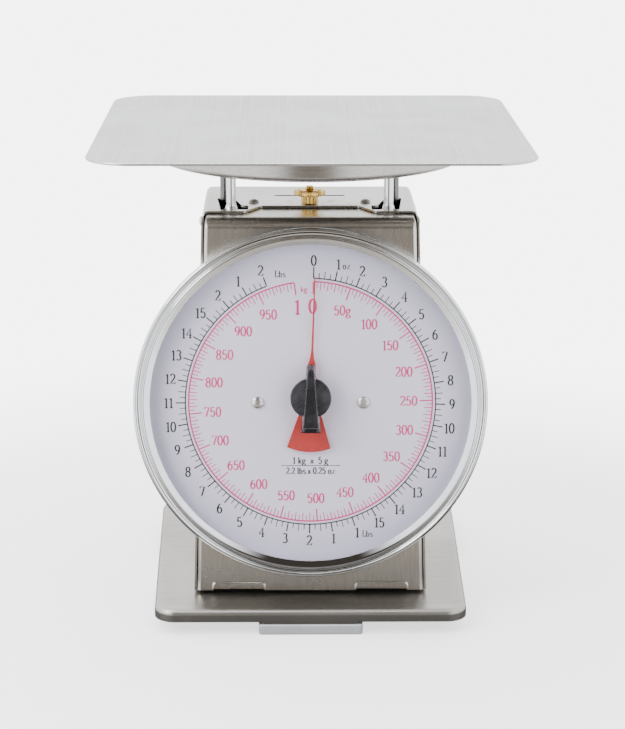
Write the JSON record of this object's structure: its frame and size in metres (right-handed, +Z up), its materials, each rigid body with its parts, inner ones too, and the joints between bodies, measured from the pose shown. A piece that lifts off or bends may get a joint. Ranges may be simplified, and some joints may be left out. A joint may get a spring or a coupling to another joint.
{
  "type": "dial portion scale",
  "caption": "Stainless spring scale with a square platform over a tapered case and a large round tilted dial with a red pointer, on a flat pressed base.",
  "frame": {"origin": "on the ground under the platform's centre, the bottom centre of the whole scale", "axes": "+Z up, +X to the scale's right seen from the front, -Y the front that the dial faces"},
  "size_m": [0.2, 0.2, 0.231],
  "materials": {
    "brushed_steel": "satin brushed stainless steel",
    "chrome": "polished plating",
    "brass": "turned, lightly polished",
    "black_plastic": "black moulded plastic, soft sheen",
    "red_paint": "red satin paint",
    "dial_card": "pale printed card, black and red print",
    "foot_plastic": "pale grey plastic",
    "lens": "clear acrylic",
    "spring_steel": "drawn spring wire"
  },
  "bodies": {
    "root": {"base_bracket_left": "brushed_steel", "base_bracket_right": "brushed_steel", "base_pan": "brushed_steel", "base_screw_left": "chrome", "base_screw_right": "chrome", "bezel_ring": "chrome", "dial_card": "dial_card", "dial_pan": "brushed_steel", "dial_screw_left": "chrome", "dial_screw_right": "chrome", "foot_front": "foot_plastic", "foot_left": "foot_plastic", "foot_rear": "foot_plastic", "foot_right": "foot_plastic", "front_bush": "brass", "front_shell": "brushed_steel", "gear_bracket": "brushed_steel", "knob_spring": "chrome", "lens": "lens", "lens_ring": "foot_plastic", "rear_bracket": "brushed_steel", "rear_bush": "brass", "rear_cover": "brushed_steel", "rear_pin_lower": "chrome", "rear_pin_upper": "chrome", "rear_screw_lower": "chrome", "rear_screw_upper": "chrome", "side_screw_left": "chrome", "side_screw_right": "chrome", "spring_left": "spring_steel", "spring_right": "spring_steel", "top_screw_left": "chrome", "top_screw_right": "chrome"},
    "carrier": {"platform": "brushed_steel", "platform_dish": "brushed_steel", "pillar_front_left": "chrome", "pillar_front_right": "chrome", "pillar_rear_left": "chrome", "pillar_rear_right": "chrome", "carrier_top": "brushed_steel", "carrier_side_left": "brushed_steel", "carrier_side_right": "brushed_steel", "carrier_crossbar": "brushed_steel", "rack_bracket": "brushed_steel", "rack": "brushed_steel", "stay_pin_upper": "chrome", "stay_pin_lower": "chrome"},
    "pinion": {"pinion_shaft": "chrome"},
    "pointer": {"pointer": "red_paint", "pointer_boss": "brass"},
    "upper_stay": {"upper_stay": "brushed_steel"},
    "lower_stay": {"lower_stay": "brushed_steel"},
    "zero_nut": {"zero_nut": "brass"},
    "zero_stud": {"zero_stud": "brass", "spring_hanger": "brushed_steel"},
    "knob_sleeve": {"knob_sleeve": "black_plastic"},
    "knob": {"knob": "black_plastic", "knob_stem": "black_plastic"}
  },
  "joints": [
    {"name": "platform_slide", "type": "slide", "parent": "root", "child": "carrier", "axis": [0, 0, 1], "range_m": [-0.01, 0], "stiffness_N_per_m": 1000, "springref_m": 0.0075, "deforming": ["spring_left", "spring_right"]},
    {"name": "pinion_turn", "type": "hinge", "parent": "root", "child": "pinion", "pos_m": [0, -0.04663, 0.11048], "axis": [0, -0.9945, 0.1045], "range_deg": [-356.2, 0]},
    {"name": "pointer_slip", "type": "hinge", "parent": "pinion", "child": "pointer", "pos_m": [0, -0.04663, 0.11048], "axis": [0, -0.9945, 0.1045], "continuous": true},
    {"name": "upper_stay_swing", "type": "hinge", "parent": "root", "child": "upper_stay", "pos_m": [0, 0.038, 0.155], "axis": [1, 0, 0], "range_deg": [0, 19.61]},
    {"name": "lower_stay_swing", "type": "hinge", "parent": "root", "child": "lower_stay", "pos_m": [0, 0.038, 0.093], "axis": [1, 0, 0], "range_deg": [0, 19.61]},
    {"name": "zero_nut_turn", "type": "hinge", "parent": "root", "child": "zero_nut", "pos_m": [0, 0, 0.1938], "axis": [0, 0, 1], "range_deg": [-257.5, 257.5]},
    {"name": "zero_stud_slide", "type": "slide", "parent": "root", "child": "zero_stud", "axis": [0, 0, 1], "range_m": [-0.0005, 0.0005]},
    {"name": "knob_turn", "type": "hinge", "parent": "root", "child": "knob_sleeve", "pos_m": [0, -0.04663, 0.11048], "axis": [0, -0.9945, 0.1045], "continuous": true},
    {"name": "knob_push", "type": "slide", "parent": "knob_sleeve", "child": "knob", "axis": [0, 0.9945, -0.1045], "range_m": [0, 0.0013], "stiffness_N_per_m": 400, "springref_m": -0.0012}
  ],
  "couplings": [
    {"joint": "pinion_turn", "follows": "platform_slide", "rad_per_m": 621.58},
    {"joint": "upper_stay_swing", "follows": "platform_slide", "rad_per_m": -34.147},
    {"joint": "lower_stay_swing", "follows": "platform_slide", "rad_per_m": -34.147},
    {"joint": "zero_nut_turn", "follows": "zero_stud_slide", "rad_per_m": -8976},
    {"joint": "pointer_slip", "follows": "knob_turn", "ratio": 1}
  ]
}
